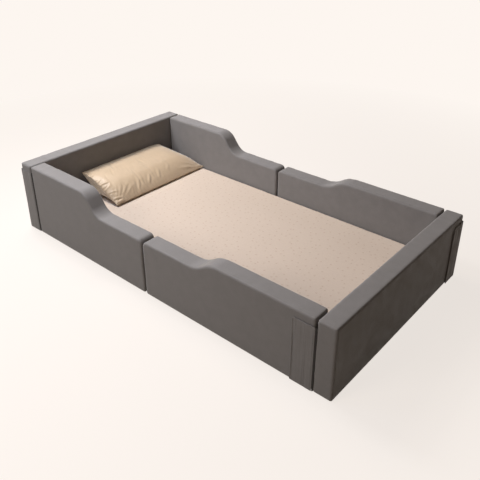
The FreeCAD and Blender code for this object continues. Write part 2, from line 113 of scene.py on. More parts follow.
# Light that comes from all round, what the floor passes on, and how much of its shade shows
AMBIENT = (0.060, 0.034, 0.014)
FLOOR_BOUNCE = (0.30, 0.26, 0.21)
FLOOR_SHADOW = 0.20
FLOOR_REACH = 40.0

# Sewn cloth. CAD_CLOTH is the thickness that the wings have in the solids
CAD_CLOTH = 0.0016
CLOTH = 0.0015
STITCH_PITCH = 0.0052
STITCH_LENGTH = 0.0040
THREAD = 0.00042
FOLD_RADIUS = 0.0047

# A wing: its free corners' radius, and how far its cloth lifts, lifts at the free edge, rolls at the
# hem and is pleated
WING_CORNER = 0.006
WING_LIFT = 0.0005
WING_EDGE_LIFT = 0.0011
WING_HEM = 0.0013
WING_PLEATS = 0.0011

# Rows of stitches: how far from a leaf's free edge, from its root, from a strip's hinge and from
# the ends
LEAF_ROWS = (0.0045, 0.0085, 0.056)
ROOT_ROW = 0.004
STRIP_ROWS = (0.005, 0.009)
ROW_END = 0.008

# Mattress, sheet, its hem and base mat
MATTRESS_EDGE = 0.014
SHEET_INSET = 0.0014
MATTRESS_SETTLE = 0.0026
SHEET_CLOTH = 0.0009
SHEET_TURN = 0.070
ELASTIC_WIDTH = 0.007
HEM_CORNER = 0.004
MAT_EDGE = 0.006
QUILT = 0.11
QUILT_DEPTH = 0.0022

# Pillow: the heights of its seams above the bed, and then (share of its depth, height above the line
# from seam to seam) of its crown, ridge and nose
PILLOW_GRID = 0.0052
PILLOW_FRONT_SEAM = 0.009
PILLOW_BACK_SEAM = 0.118
PILLOW_CROWN = (0.66, 0.041)
PILLOW_RIDGE = (0.32, 0.054)
PILLOW_NOSE = (0.14, 0.036)

# How much cloth lies between the pillow's front seam and its ridge, and on to its back seam
PILLOW_RUNS = (0.115, 0.245)

# How far the pillow's back is set to the near side and drawn in, where it lies flat, how far its sides
# are drawn in, how round its back corners are, and the radius of its piping
PILLOW_SKEW = 0.080
PILLOW_TAPER = 0.027
PILLOW_FLAT = (0.12, 0.55)
PILLOW_DRAW = 0.012
PILLOW_ROUND = 0.06
PIPING = 0.0011

# The pillow's cloth simulation: the share that the cloth is too large, its frames, the most that it
# moves a point, and how much of that is left out of the far half
PILLOW_EASE = 0.012
PILLOW_FRAMES = 20
PILLOW_CAP = 0.005
PILLOW_CALM = 0.75

# Creases of the pillowcase: rays from its front corners as (degrees from the front seam, length, width,
# depth), folds over its ridge as (distance from the front seam, place across, angle, length, depth), and
# how many gathers each of its sides has
NEAR_RAYS = [(12, 0.15, 0.008, 0.0026), (22, 0.27, 0.010, 0.0042), (33, 0.23, 0.009, 0.0036),
             (45, 0.17, 0.008, 0.0034), (58, 0.13, 0.007, 0.0032), (72, 0.11, 0.007, 0.0030)]
FAR_RAYS = [(18, 0.22, 0.010, 0.0026), (34, 0.16, 0.009, 0.0022), (52, 0.12, 0.008, 0.0020)]
RIDGE_FOLDS = [(0.030, -0.165, 52, 0.10, 0.0034), (0.050, -0.120, 60, 0.075, 0.0026),
               (0.038, -0.080, 48, 0.105, 0.0036), (0.062, -0.030, 66, 0.06, 0.0022),
               (0.045, 0.005, 55, 0.09, 0.0028), (0.070, 0.085, 40, 0.08, 0.0016)]
SIDE_GATHERS = 14


# ---- numbers on points ----

def lattice_value(cells, seed):
    """A repeatable value from -1 to 1 for each whole-numbered cell."""
    mixed = cells[:, 0] * 374761393 + cells[:, 1] * 668265263 + cells[:, 2] * 2147483647 + seed * 69069
    mixed = (mixed ^ (mixed >> 13)) * 1274126177
    mixed = (mixed ^ (mixed >> 16)) & 0xFFFFFF
    return mixed / float(0x7FFFFF) - 1.0


def noise(points, seed):
    """Smooth noise from -1 to 1, with features one unit wide."""
    cells = np.floor(points).astype(np.int64)
    part = points - cells
    smooth = part * part * (3 - 2 * part)
    total = np.zeros(len(points))
    for corner in itertools.product((0, 1), repeat=3):
        weight = np.ones(len(points))
        for axis, step in enumerate(corner):
            weight *= smooth[:, axis] if step else 1 - smooth[:, axis]
        total += weight * lattice_value(cells + np.array(corner), seed)
    return total


def fade(value, start, stop):
    """0 before start and 1 after stop, with a smooth step between them."""
    share = np.clip((value - start) / (stop - start), 0, 1)
    return share * share * (3 - 2 * share)


# ---- meshes ----

def unit(vector):
    return vector / np.linalg.norm(vector)


def points_of(mesh):
    flat = np.empty(len(mesh.vertices) * 3)
    mesh.vertices.foreach_get("co", flat)
    return flat.reshape(-1, 3)


def set_points(mesh, points):
    mesh.vertices.foreach_set("co", np.asarray(points, float).ravel())
    mesh.update()


def placed(name, data):
    """A new object of this data, in the scene."""
    obj = bpy.data.objects.new(name, data)
    bpy.context.scene.collection.objects.link(obj)
    return obj


def new_piece(name, mesh, material):
    """A smooth-shaded object of this mesh, with one material."""
    for polygon in mesh.polygons:
        polygon.use_smooth = True
    mesh.materials.clear()
    mesh.materials.append(material)
    return placed(name, mesh)


def applied(obj):
    """The mesh of the object with its modifiers applied. The object itself is removed."""
    graph = bpy.context.evaluated_depsgraph_get()
    mesh = bpy.data.meshes.new_from_object(obj.evaluated_get(graph))
    bpy.data.objects.remove(obj)
    return mesh


def modified(mesh, kind, **settings):
    """The mesh after one modifier with these settings."""
    obj = placed("work", mesh)
    modifier = obj.modifiers.new("change", kind)
    for name, value in settings.items():
        setattr(modifier, name, value)
    return applied(obj)


def mesh_of(corners, faces):
    mesh = bpy.data.meshes.new("mesh")
    mesh.from_pydata(corners, [], faces)
    return mesh


def box_mesh(low, high):
    corners = list(itertools.product(*zip(low, high)))
    faces = [(0, 1, 3, 2), (4, 6, 7, 5), (0, 4, 5, 1), (2, 3, 7, 6), (0, 2, 6, 4), (1, 5, 7, 3)]
    return mesh_of(corners, faces)


def prism_mesh(outline, low, high):
    """The outline in the first and third axes, swept along the second."""
    count = len(outline)
    corners = [(a, b, c) for b in (low, high) for a, c in outline]
    faces = [tuple(range(count)), tuple(range(2 * count - 1, count - 1, -1))]
    faces += [(i, i + count, (i + 1) % count + count, (i + 1) % count) for i in range(count)]
    return mesh_of(corners, faces)


def cut_away(mesh, low, high):
    """The mesh less a box."""
    cutter = placed("cutter", box_mesh(low, high))
    result = modified(mesh, "BOOLEAN", object=cutter, solver="EXACT")
    bpy.data.objects.remove(cutter)
    return result


# ---- sewn cloth ----

def grid_mesh(points, closed=False):
    """Quads over an array of points: rows, columns, xyz. closed joins the last column to the first."""
    rows, columns = points.shape[:2]
    faces = []
    for i in range(rows - 1):
        for j in range(columns if closed else columns - 1):
            k = (j + 1) % columns
            faces.append((i * columns + j, i * columns + k, (i + 1) * columns + k, (i + 1) * columns + j))
    return mesh_of(points.reshape(-1, 3).tolist(), faces)


def thickened(mesh, thickness, soft=True):
    """The open mesh as cloth of this thickness, half of it to each side, with a soft edge."""
    mesh = modified(mesh, "SOLIDIFY", thickness=thickness, offset=0.0)
    return modified(mesh, "SUBSURF", levels=1) if soft else mesh


def even_steps(path, step):
    """Points a steady step apart along a path of points."""
    path = np.array(path, float)
    run = np.concatenate([[0], np.cumsum(np.linalg.norm(np.diff(path, axis=0), axis=1))])
    places = np.linspace(0, run[-1], max(2, int(round(run[-1] / step)) + 1))
    return np.stack([np.interp(places, run, path[:, axis]) for axis in range(path.shape[1])], axis=1), places


def stitch_rows(name, body, rows, material):
    """Rows of thread stitches as one piece. Each row is (start, stop, the way out of the cloth)."""
    ring = [(math.cos(k * math.pi / 3), math.sin(k * math.pi / 3)) for k in range(6)]
    corners, faces = [], []
    for start, stop, out in rows:
        start, stop, out = (np.array(v, float) for v in (start, stop, out))
        span = np.linalg.norm(stop - start)
        ahead = (stop - start) / span
        aside = np.cross(ahead, out)
        for number in range(int(span / STITCH_PITCH)):
            middle = start + ahead * STITCH_PITCH * (number + 0.5)
            first = len(corners)
            for place, size in ((-0.5, 0.3), (-0.28, 1.0), (0.28, 1.0), (0.5, 0.3)):
                centre = middle + ahead * STITCH_LENGTH * place
                for up, across in ring:
                    corners.append(centre + THREAD * size * (out * (up + 0.35) + aside * across))
            for level in range(3):
                for k in range(6):
                    a = first + 6 * level + k
                    b = first + 6 * level + (k + 1) % 6
                    faces.append((a, b, b + 6, a + 6))
            faces.append(tuple(first + k for k in reversed(range(6))))
            faces.append(tuple(first + 18 + k for k in range(6)))
    piece = new_piece(name, mesh_of([tuple(corner) for corner in corners], faces), material)
    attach(piece, body)


# ---- outlines ----

def arc_points(centre, radius, start, stop):
    """Points of an arc, with its angles from the vertical towards +X."""
    steps = 3 + int(abs(stop - start) * radius / 0.004)
    angles = np.linspace(start, stop, steps)
    return [(centre[0] + radius * math.sin(a), centre[1] + radius * math.cos(a)) for a in angles]


def rectangle(low, high, inset):
    return [(low[0] + inset, low[1] + inset), (high[0] - inset, low[1] + inset),
            (high[0] - inset, high[1] - inset), (low[0] + inset, high[1] - inset)]


def half_wall_outline(low, high, end, inset):
    """The outline of a half wall in XZ, drawn in by inset. end is -1 at the head and +1 at the foot."""
    reach = CAD_HALF_LENGTH
    if end < 0:
        left, right = low[0] + inset, high[0] - inset
        high_run, run, radius = HEAD_HIGH_RUN, HEAD_RAMP_RUN, HEAD_RAMP_RADIUS
    else:
        left, right = -high[0] + inset, -low[0] - inset
        high_run, run, radius = FOOT_HIGH_RUN, FOOT_RAMP_RUN, FOOT_RAMP_RADIUS
    drop = high[2] - LOW_HEIGHT
    span = math.hypot(run, drop - 2 * radius)
    turn = math.atan2(drop - 2 * radius, run) + math.asin(2 * radius / span)
    crest = (high_run - reach, high[2] - radius)
    dip = (high_run - reach + run, LOW_HEIGHT + radius)
    corner = MID_CORNER - inset
    corner_centre = (right - corner, LOW_HEIGHT - inset - corner)
    outline = [(left, inset), (left, high[2] - inset)]
    outline += arc_points(crest, radius - inset, 0, turn)
    outline += arc_points(dip, radius + inset, math.pi + turn, math.pi)
    outline += arc_points(corner_centre, corner, 0, math.pi / 2)
    outline += [(right, inset)]
    return [(-end * x, z) for x, z in outline] if end > 0 else outline


def inside_outline(outline, a, c):
    """Which of the points (a, c) lie inside the closed outline."""
    inside = np.zeros(len(a), bool)
    for (a0, c0), (a1, c1) in zip(outline, outline[1:] + outline[:1]):
        if c0 == c1:
            continue
        crosses = (c0 > c) != (c1 > c)
        inside ^= crosses & (a < (a1 - a0) * (c - c0) / (c1 - c0) + a0)
    return inside


def nearest_on_outline(outline, a, c):
    """The nearest point of the outline to each point, its distance and how far along it lies."""
    best = np.full(len(a), np.inf)
    near = np.zeros((len(a), 2))
    along = np.zeros(len(a))
    run = 0.0
    for (a0, c0), (a1, c1) in zip(outline, outline[1:] + outline[:1]):
        length = math.hypot(a1 - a0, c1 - c0)
        if length < 1e-9:
            continue
        share = np.clip(((a - a0) * (a1 - a0) + (c - c0) * (c1 - c0)) / length ** 2, 0, 1)
        on_a = a0 + share * (a1 - a0)
        on_c = c0 + share * (c1 - c0)
        distance = np.hypot(a - on_a, c - on_c)
        closer = distance < best
        best[closer] = distance[closer]
        near[closer] = np.stack([on_a, on_c], axis=1)[closer]
        along[closer] = run + share[closer] * length
        run += length
    return near, best, along


# ---- soft blocks ----

class SoftBlock:
    """A padded block: an outline, given as a function of its inset, swept between two ends.

    It has a round edge all over. axes says which axis of the bed the outline's first axis, the sweep
    and the outline's second axis are. Its points are found first without relief, and the relief then
    presses the cloth in.
    """

    def __init__(self, outline, low, high, edge, axes, grid):
        self.core = outline(edge)
        self.low = low + edge
        self.high = high - edge
        self.edge = edge
        self.axes = list(axes)
        rough = prism_mesh(outline(0.0), low, high)
        self.mesh = modified(rough, "REMESH", mode="VOXEL", voxel_size=grid)
        self.find_surface(points_of(self.mesh))

    def find_surface(self, points):
        a, b, c = points.T
        inside = inside_outline(self.core, a, c)
        near, distance, self.along = nearest_on_outline(self.core, a, c)
        near[inside] = np.stack([a, c], axis=1)[inside]
        middle = np.clip(b, self.low, self.high)
        base = np.stack([near[:, 0], middle, near[:, 1]], axis=1)
        offset = points - base
        length = np.linalg.norm(offset, axis=1, keepdims=True)
        self.normal = offset / np.maximum(length, 1e-9)
        self.base = base
        self.points = base + self.edge * self.normal
        on_face = np.abs(self.normal[:, 1]) > 0.9
        to_end = np.minimum(b - self.low, self.high - b)
        self.rim = np.where(on_face, np.where(inside, distance, 0), np.maximum(to_end, 0))
        self.side = np.sign(self.normal[:, 1]) * on_face

    def relief(self, seed):
        """How far the cloth lies inside the full shape, with puckers square to its sewn edges."""
        broad = noise(self.points / 0.16, seed) * BROAD_RELIEF
        fine = noise(self.points / 0.05, seed + 1) * FINE_RELIEF
        lines = np.stack([self.along / PUCKER_PITCH, self.rim / 0.05, self.side * 3.7], axis=1)
        pucker = noise(lines, seed + 2) * PUCKER * np.exp(-self.rim / PUCKER_REACH)
        strength = 0.45 + 0.55 * noise(np.stack([self.along / 0.17, self.side, self.side], axis=1), seed + 3)
        depth = BROAD_RELIEF + FINE_RELIEF + 0.4 * PUCKER
        return np.minimum(broad + fine + pucker * np.clip(strength, 0.1, 1) - depth, 0)

    def finished(self, shift):
        """The mesh with each point moved along its normal by shift, turned to the bed's axes."""
        moved = self.points + self.normal * shift[:, None]
        turned = np.empty_like(moved)
        turned[:, self.axes] = moved
        set_points(self.mesh, turned)
        if self.axes != [0, 1, 2]:
            self.mesh.flip_normals()
        return self.mesh


# ---- materials ----

def join(tree, value, socket):
    """Gives an input its number or colour, or links it to another node's output."""
    if isinstance(value, (int, float)):
        socket.default_value = value
    elif isinstance(value, tuple):
        socket.default_value = value if len(value) == len(socket.default_value) else (*value, 1.0)
    else:
        tree.links.new(value, socket)


def add_node(tree, kind, inputs=None, **settings):
    """The outputs of a new node with these settings and inputs."""
    node = tree.nodes.new("ShaderNode" + kind)
    for name, value in settings.items():
        setattr(node, name, value)
    for name, value in (inputs or {}).items():
        join(tree, value, node.inputs[name])
    return node.outputs


class Shader:
    """A material with its principled shader, and short calls that add nodes to it."""

    def __init__(self, name, roughness, sheen=0.0, specular=0.5):
        self.material = bpy.data.materials.new(name)
        self.material.use_nodes = True
        self.tree = self.material.node_tree
        self.base = self.tree.nodes["Principled BSDF"]
        self.finish("Roughness", roughness)
        self.finish("Specular IOR Level", specular)
        self.finish("Sheen Weight", sheen)
        self.finish("Sheen Roughness", 0.4)
        self.place = self.node("TexCoord")["Object"]
        self.normal = None

    def finish(self, name, value):
        """Sets or links one input of the principled shader."""
        join(self.tree, value, self.base.inputs[name])

    def node(self, kind, inputs=None, **settings):
        return add_node(self.tree, kind, inputs, **settings)

    def math(self, kind, first, second=0.0):
        return self.node("Math", {0: first, 1: second}, operation=kind)[0]

    def vector(self, kind, first, second=(0.0, 0.0, 0.0)):
        outputs = self.node("VectorMath", {0: first, 1: second}, operation=kind)
        return outputs["Value" if kind in ("LENGTH", "DOT_PRODUCT") else "Vector"]

    def parts(self, vector):
        return self.node("SeparateXYZ", {0: vector})

    def shrunk(self, place, pitch):
        """The place counted in pitches."""
        return self.node("VectorMath", {0: place, "Scale": 1 / pitch}, operation="SCALE")["Vector"]

    def grain(self, size, detail=2.0):
        """Noise from 0 to 1 with features about size wide."""
        return self.node("TexNoise", {"Scale": 1 / size, "Detail": detail, "Vector": self.place})["Fac"]

    def range(self, value, low, high, new_low=0.0, new_high=1.0):
        return self.node("MapRange", {"Value": value, "From Min": low, "From Max": high,
                                      "To Min": new_low, "To Max": new_high})[0]

    def mix(self, share, first, second):
        return self.node("Mix", {"Factor": share, 6: first, 7: second}, data_type="RGBA")[2]

    def colour(self, value):
        self.finish("Base Color", value)

    def bump(self, height, depth, strength=1.0):
        """Adds relief of this depth in metres to what is there."""
        inputs = {"Distance": depth, "Strength": strength, "Height": height}
        if self.normal:
            inputs["Normal"] = self.normal
        self.normal = self.node("Bump", inputs)[0]
        self.finish("Normal", self.normal)

    def weave(self, pitch):
        """Woven threads along the three axes, from 0 to 1."""
        turn = 2 * math.pi / pitch
        waves = [self.math("SINE", self.vector("DOT_PRODUCT", self.place, row))
                 for row in ((turn, 0.0, 0.0), (0.0, turn, 0.0), (0.0, 0.0, turn))]
        total = self.math("ADD", self.math("ADD", waves[0], waves[1]), waves[2])
        return self.range(total, -2.0, 2.0)

    def on_cloth(self):
        """Flat coordinates: the two axes that lie in the cloth, chosen by the way that it faces."""
        facing = self.parts(self.vector("ABSOLUTE", self.node("NewGeometry")["Normal"]))
        place = self.parts(self.place)
        steep = self.math("GREATER_THAN", 0.6, facing[2])
        sideways = self.math("GREATER_THAN", facing[0], facing[1])
        to_end = self.math("MULTIPLY", steep, sideways)
        to_side = self.math("SUBTRACT", steep, to_end)
        return self.node("CombineXYZ", {0: self.blended(to_end, place[0], place[2]),
                                        1: self.blended(to_side, place[1], place[2])})[0]

    def blended(self, share, first, second):
        gap = self.math("SUBTRACT", second, first)
        return self.math("ADD", first, self.math("MULTIPLY", gap, share))

    def cells(self, place, pitch):
        """Each point's offset from its nearest random centre, in pitches, and a random colour of it."""
        scaled = self.shrunk(place, pitch)
        found = self.node("TexVoronoi", {"Scale": 1.0, "Randomness": 0.75, "Vector": scaled},
                          voronoi_dimensions="2D")
        return self.vector("SUBTRACT", scaled, found["Position"]), found["Color"]

    def seeds(self, place, pitch, size):
        """Small soft dots, 1 inside and 0 outside. size is a share of the pitch."""
        offset, _ = self.cells(place, pitch)
        return self.range(self.vector("LENGTH", offset), size * 1.3, size * 0.7)

    def sprigs(self, place, pitch):
        """Two leaves and a bud on a short stem, turned at random, and a random number for each sprig."""
        offset, chance = self.cells(place, pitch)
        draws = self.node("SeparateColor", {0: chance})
        angle = self.math("MULTIPLY", draws[0], 2 * math.pi)
        local = self.parts(self.node("VectorRotate", {"Vector": offset, "Angle": angle},
                                     rotation_type="Z_AXIS")[0])
        ahead = local[0]
        aside = self.math("ABSOLUTE", local[1])
        leaf = self.ellipse(ahead, aside, (0.0, 0.065), 0.7, (0.095, 0.036))
        bud = self.ellipse(ahead, aside, (0.130, 0.0), 0.0, (0.042, 0.034))
        stem = self.ellipse(ahead, aside, (0.0, 0.0), 0.0, (0.12, 0.012))
        shape = self.math("MAXIMUM", self.math("MAXIMUM", leaf, bud), stem)
        chosen = self.math("GREATER_THAN", draws[1], 0.12)
        return self.math("MULTIPLY", shape, chosen), draws[2]

    def ellipse(self, ahead, aside, centre, angle, radii):
        """1 inside a turned ellipse and 0 outside it."""
        ahead = self.math("SUBTRACT", ahead, centre[0])
        aside = self.math("SUBTRACT", aside, centre[1])
        axes = [self.math(kind, self.math("MULTIPLY", first, math.cos(angle)),
                          self.math("MULTIPLY", second, math.sin(angle)))
                for kind, first, second in (("ADD", ahead, aside), ("SUBTRACT", aside, ahead))]
        squares = [self.math("POWER", self.math("DIVIDE", self.math("ABSOLUTE", value), radius), 2.0)
                   for value, radius in zip(axes, radii)]
        return self.range(self.math("ADD", *squares), 1.25, 0.75)

    def dots(self, pitch, size):
        """A square lattice of round dots over the cloth, 1 on a dot and 0 between dots."""
        scaled = self.shrunk(self.on_cloth(), pitch)
        cell = self.vector("SUBTRACT", self.vector("FRACTION", scaled), (0.5, 0.5, 0.0))
        return self.range(self.vector("LENGTH", cell), size * 1.2, size * 0.8)

    def wave(self, value, turn):
        """The sine of the value times turn."""
        return self.math("SINE", self.math("MULTIPLY", value, turn))

    def ribs(self, pitch):
        """Fine ribs across the two level axes, from 0 to 1."""
        place = self.parts(self.place)
        waves = [self.wave(place[axis], 2 * math.pi / pitch) for axis in (0, 1)]
        return self.range(self.math("ADD", *waves), -1.6, 1.6)

    def lattice(self, pitch):
        """Soft diamonds, low on the lines between them."""
        place = self.parts(self.on_cloth())
        waves = [self.math("ABSOLUTE", self.wave(self.math(kind, place[0], place[1]), math.pi / pitch))
                 for kind in ("ADD", "SUBTRACT")]
        return self.math("MINIMUM", *waves)


def darker(colour, factor):
    return tuple(channel * factor for channel in colour)


def wall_fabric():
    """Matt warm grey microfibre with a fine grain and a faint mottling."""
    shader = Shader("wall_fabric", roughness=0.6, sheen=0.45, specular=0.15)
    shader.finish("Sheen Tint", (1.0, 0.98, 0.97))
    mottle = shader.range(shader.grain(0.045, 4.0), 0.35, 0.65)
    speck = shader.range(shader.grain(0.0022, 1.0), 0.3, 0.7)
    broad = shader.mix(mottle, darker(WALL_GREY, 0.95), darker(WALL_GREY, 1.05))
    shader.colour(shader.mix(shader.math("MULTIPLY", speck, 0.5), broad, darker(WALL_GREY, 0.88)))
    shader.finish("Roughness", shader.range(mottle, 0.0, 1.0, 0.50, 0.60))
    shader.bump(shader.grain(0.0035, 3.0), 0.0003, 0.4)
    shader.bump(shader.grain(0.0012, 2.0), 0.00015, 0.4)
    return shader.material


def woven(name, colour, pitch, depth, roughness=0.75):
    """Plain woven cloth of one colour, with slubs and threads of this pitch."""
    shader = Shader(name, roughness=roughness, sheen=0.2, specular=0.25)
    threads = shader.weave(pitch)
    slub = shader.range(shader.grain(0.02, 3.0), 0.35, 0.65)
    shaded = shader.mix(threads, darker(colour, 0.78), darker(colour, 1.08))
    shader.colour(shader.mix(slub, shaded, darker(colour, 0.92)))
    shader.bump(threads, depth, 0.6)
    return shader.material


def zip_metal():
    shader = Shader("zip_metal", roughness=0.3)
    shader.finish("Metallic", 1.0)
    wear = shader.range(shader.grain(0.003, 3.0), 0.4, 0.6)
    shader.colour(shader.mix(wear, (0.20, 0.19, 0.18), (0.34, 0.33, 0.31)))
    shader.finish("Roughness", shader.range(wear, 0.0, 1.0, 0.25, 0.45))
    return shader.material


# Tapes and small cloths whose colour and relief follow one pattern: the pattern and its sizes, its two
# colours, the depth of its relief, and then roughness, sheen and specular. The hook tape has rows of
# tiny stiff hooks, the loop tape a matted pile, the grip sheet soft rubber dots and the ticking a
# small raised lattice.
PATTERNED = {
    "hook_tape": (("dots", 0.0016, 0.3), (0.03, 0.03, 0.032), (0.085, 0.083, 0.08), 0.0006, 0.45, 0.0, 0.5),
    "loop_tape": (("grain", 0.0011, 4.0), (0.05, 0.048, 0.046), (0.13, 0.125, 0.12), 0.0008, 0.95, 0.6, 0.1),
    "zip_tape": (("ribs", 0.0016), (0.055, 0.052, 0.05), (0.11, 0.105, 0.10), 0.0004, 0.7, 0.2, 0.3),
    "grip": (("dots", 0.006, 0.32), (0.06, 0.058, 0.056), (0.17, 0.165, 0.16), 0.0007, 0.6, 0.0, 0.35),
    "elastic": (("ribs", 0.0012), (0.55, 0.50, 0.44), (0.76, 0.72, 0.66), 0.0003, 0.7, 0.2, 0.2),
    "ticking": (("lattice", 0.028), (0.62, 0.58, 0.53), (0.78, 0.74, 0.69), 0.0012, 0.8, 0.3, 0.2),
}


def patterned(name):
    """A material of the table above. The ticking has a fine knit besides."""
    (pattern, *sizes), low_colour, high_colour, depth, roughness, sheen, specular = PATTERNED[name]
    shader = Shader(name, roughness, sheen, specular)
    height = getattr(shader, pattern)(*sizes)
    shader.colour(shader.mix(height, low_colour, high_colour))
    shader.bump(height, depth)
    if name == "ticking":
        shader.bump(shader.grain(0.0013, 2.0), 0.0003, 0.5)
    return shader.material


def sheet_cotton():
    """Cream cotton with a sparse print of tiny sprigs and seeds."""
    shader = Shader("sheet_cotton", roughness=0.8, sheen=0.15, specular=0.2)
    flat = shader.on_cloth()
    slub = shader.range(shader.grain(0.012, 4.0), 0.35, 0.65)
    ground = shader.mix(slub, darker(SHEET_CREAM, 0.985), darker(SHEET_CREAM, 1.015))
    sprig, tint = shader.sprigs(flat, SPRIG_PITCH)
    ink = shader.mix(tint, SPRIG_BROWN, SPRIG_GREEN)
    printed = shader.mix(shader.math("MULTIPLY", sprig, 0.55), ground, ink)
    shifted = shader.vector("ADD", flat, (0.37, 0.61, 0.0))
    seed = shader.seeds(shifted, 0.019, 0.055)
    shader.colour(shader.mix(shader.math("MULTIPLY", seed, 0.34), printed, SPRIG_BROWN))
    shader.bump(shader.weave(0.0011), 0.00012, 0.4)
    shader.bump(shader.grain(0.05, 2.0), 0.0012, 0.25)
    return shader.material


def pillow_satin():
    """Cream cotton satin: smooth, with a soft shine and very fine threads."""
    shader = Shader("pillow_satin", roughness=0.5, sheen=1.0, specular=0.6)
    shader.finish("Sheen Tint", (0.78, 0.90, 1.0))
    slub = shader.range(shader.grain(0.03, 4.0), 0.35, 0.65)
    shader.colour(shader.mix(slub, darker(PILLOW_CREAM, 0.975), darker(PILLOW_CREAM, 1.02)))
    shader.bump(shader.weave(0.0007), 0.00006, 0.3)
    shader.bump(shader.grain(0.012, 3.0), 0.0006, 0.35)
    return shader.material


# ---- stage, lights and camera ----

def make_camera():
    data = bpy.data.cameras.new("camera")
    data.lens = CAMERA_LENS
    data.sensor_width = 36.0
    data.shift_y = CAMERA_SHIFT
    camera = placed("camera", data)
    camera.location = CAMERA_PLACE
    camera.rotation_euler = (math.pi / 2 - CAMERA_ELEVATION, 0.0, -CAMERA_AZIMUTH)
    bpy.context.scene.camera = camera


def bright_rays(tree):
    """1 for the rays that show the bright studio: those of the camera, of gloss and through glass."""
    path = add_node(tree, "LightPath")
    share = path["Is Camera Ray"]
    for ray in ("Is Glossy Ray", "Is Transmission Ray"):
        share = add_node(tree, "Math", {0: share, 1: path[ray]}, operation="MAXIMUM")[0]
    return share


def make_world():
    world = bpy.data.worlds.new("world")
    world.use_nodes = True
    tree = world.node_tree
    inputs = {"Factor": bright_rays(tree), 6: AMBIENT, 7: CREAM}
    colour = add_node(tree, "Mix", inputs, data_type="RGBA")[2]
    join(tree, colour, tree.nodes["Background"].inputs["Color"])
    bpy.context.scene.world = world


def make_floor():
    """A wide pale floor that keeps the bed's shadow, and passes on less light than it seems to."""
    corners = [(x * FLOOR_REACH, y * FLOOR_REACH, 0) for x, y in ((-1, -1), (1, -1), (1, 1), (-1, 1))]
    mesh = mesh_of(corners, [(0, 1, 2, 3)])
    shader = Shader("floor", roughness=0.9, specular=0.0)
    shader.colour(FLOOR_BOUNCE)
    glow = shader.node("Emission", {"Color": CREAM})[0]
    matt = shader.node("BsdfDiffuse", {"Color": CREAM})[0]
    near = shader.range(shader.vector("LENGTH", shader.place), 1.3, 3.2, FLOOR_SHADOW, 0.0)
    seen = shader.node("MixShader", {0: near, 1: glow, 2: matt})[0]
    whole = shader.node("MixShader", {0: bright_rays(shader.tree), 1: shader.base.outputs[0], 2: seen})[0]
    join(shader.tree, whole, shader.tree.nodes["Material Output"].inputs["Surface"])
    new_piece("floor", mesh, shader.material)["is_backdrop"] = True


def make_lamp(name, place, power, size, colour):
    """A square soft light that faces the middle of the bed."""
    data = bpy.data.lights.new(name, "AREA")
    data.energy = power
    data.size = size
    data.color = colour
    lamp = placed(name, data)
    lamp.location = place
    aim = (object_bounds()[0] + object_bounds()[1]) / 2 - lamp.location
    lamp.rotation_euler = aim.to_track_quat("-Z", "Y").to_euler()


def make_lights():
    """A key above the head, a soft top light behind it, a near fill, a warm front light and a rim."""
    make_lamp("key", (-1.5, -0.42, 2.3), 46.0, 0.6, (0.94, 0.96, 1.0))
    make_lamp("top", (-2.0, 0.4, 3.5), 50.0, 1.2, (1.0, 0.88, 0.76))
    make_lamp("near", (-0.9, -1.5, 2.5), 16.0, 1.0, (0.60, 0.75, 1.0))
    make_lamp("front", (-0.3, -3.2, 2.2), 50.0, 1.4, (1.0, 0.92, 0.85))
    make_lamp("rim", (-3.2, 2.8, 1.9), 20.0, 1.6, (0.85, 0.85, 1.0))


# ---- walls ----

def wall_box(name):
    """The outside of a wall, which is a foam inset larger than its foam."""
    low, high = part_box(name + "_foam")
    return [v - FOAM_INSET for v in low], [v + FOAM_INSET for v in high]


CAD_HALF_LENGTH = wall_box("foot")[1][0]
WALLS = {"head": (-1, 0), "foot": (1, 0), "front_head": (-1, -1), "front_foot": (1, -1),
         "back_head": (-1, 1), "back_foot": (1, 1)}

# The corner wings: whether each wraps its corner, and -1 for those on the far side
WINGS = [("front_head", True, 1), ("back_foot", True, -1),
         ("front_foot", False, 1), ("back_head", False, -1)]


def wall_block(name, end, side):
    """The soft block of a wall: the end walls are swept along X and the half walls along Y."""
    low, high = wall_box(name)
    if side:
        return SoftBlock(lambda inset: half_wall_outline(low, high, end, inset), low[1], high[1], EDGE,
                         (0, 1, 2), WALL_GRID)
    return SoftBlock(lambda inset: rectangle(low[1:], high[1:], inset), low[0], high[0], EDGE,
                     (1, 0, 2), WALL_GRID)


def slotted(mesh, tapes, along, bottom):
    """The mesh with its zip's slot, which runs along this axis."""
    low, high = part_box(tapes)
    middle = [(a + b) / 2 for a, b in zip(low, high)]
    start = [v - ZIP_SLOT / 2 for v in middle]
    stop = [v + ZIP_SLOT / 2 for v in middle]
    start[along], stop[along] = low[along] + ZIP_END, high[along] - ZIP_END
    start[2], stop[2] = bottom - 0.01, high[2] + ZIP_END
    return cut_away(mesh, start, stop)


def make_wall(index, name, end, side, material):
    block = wall_block(name, end, side)
    shift = block.relief(10 * index) * fade(block.points[:, 2], 0.0, 0.012)
    mesh = slotted(block.finished(shift), name + "_zip_tapes", 0 if side else 1, 0.0)
    wall = new_piece(name + "_padded_wall", mesh, material)
    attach(wall, name + "_wall" if side else "root")
    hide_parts(name + "_cover", name + "_foam")


# ---- mattress, sheet and base ----

def level_block(low, high, edge, grid):
    """A soft block whose outline lies level and is swept upward."""
    return SoftBlock(lambda inset: rectangle(low[:2], high[:2], inset), low[2], high[2], edge,
                     (0, 2, 1), grid)


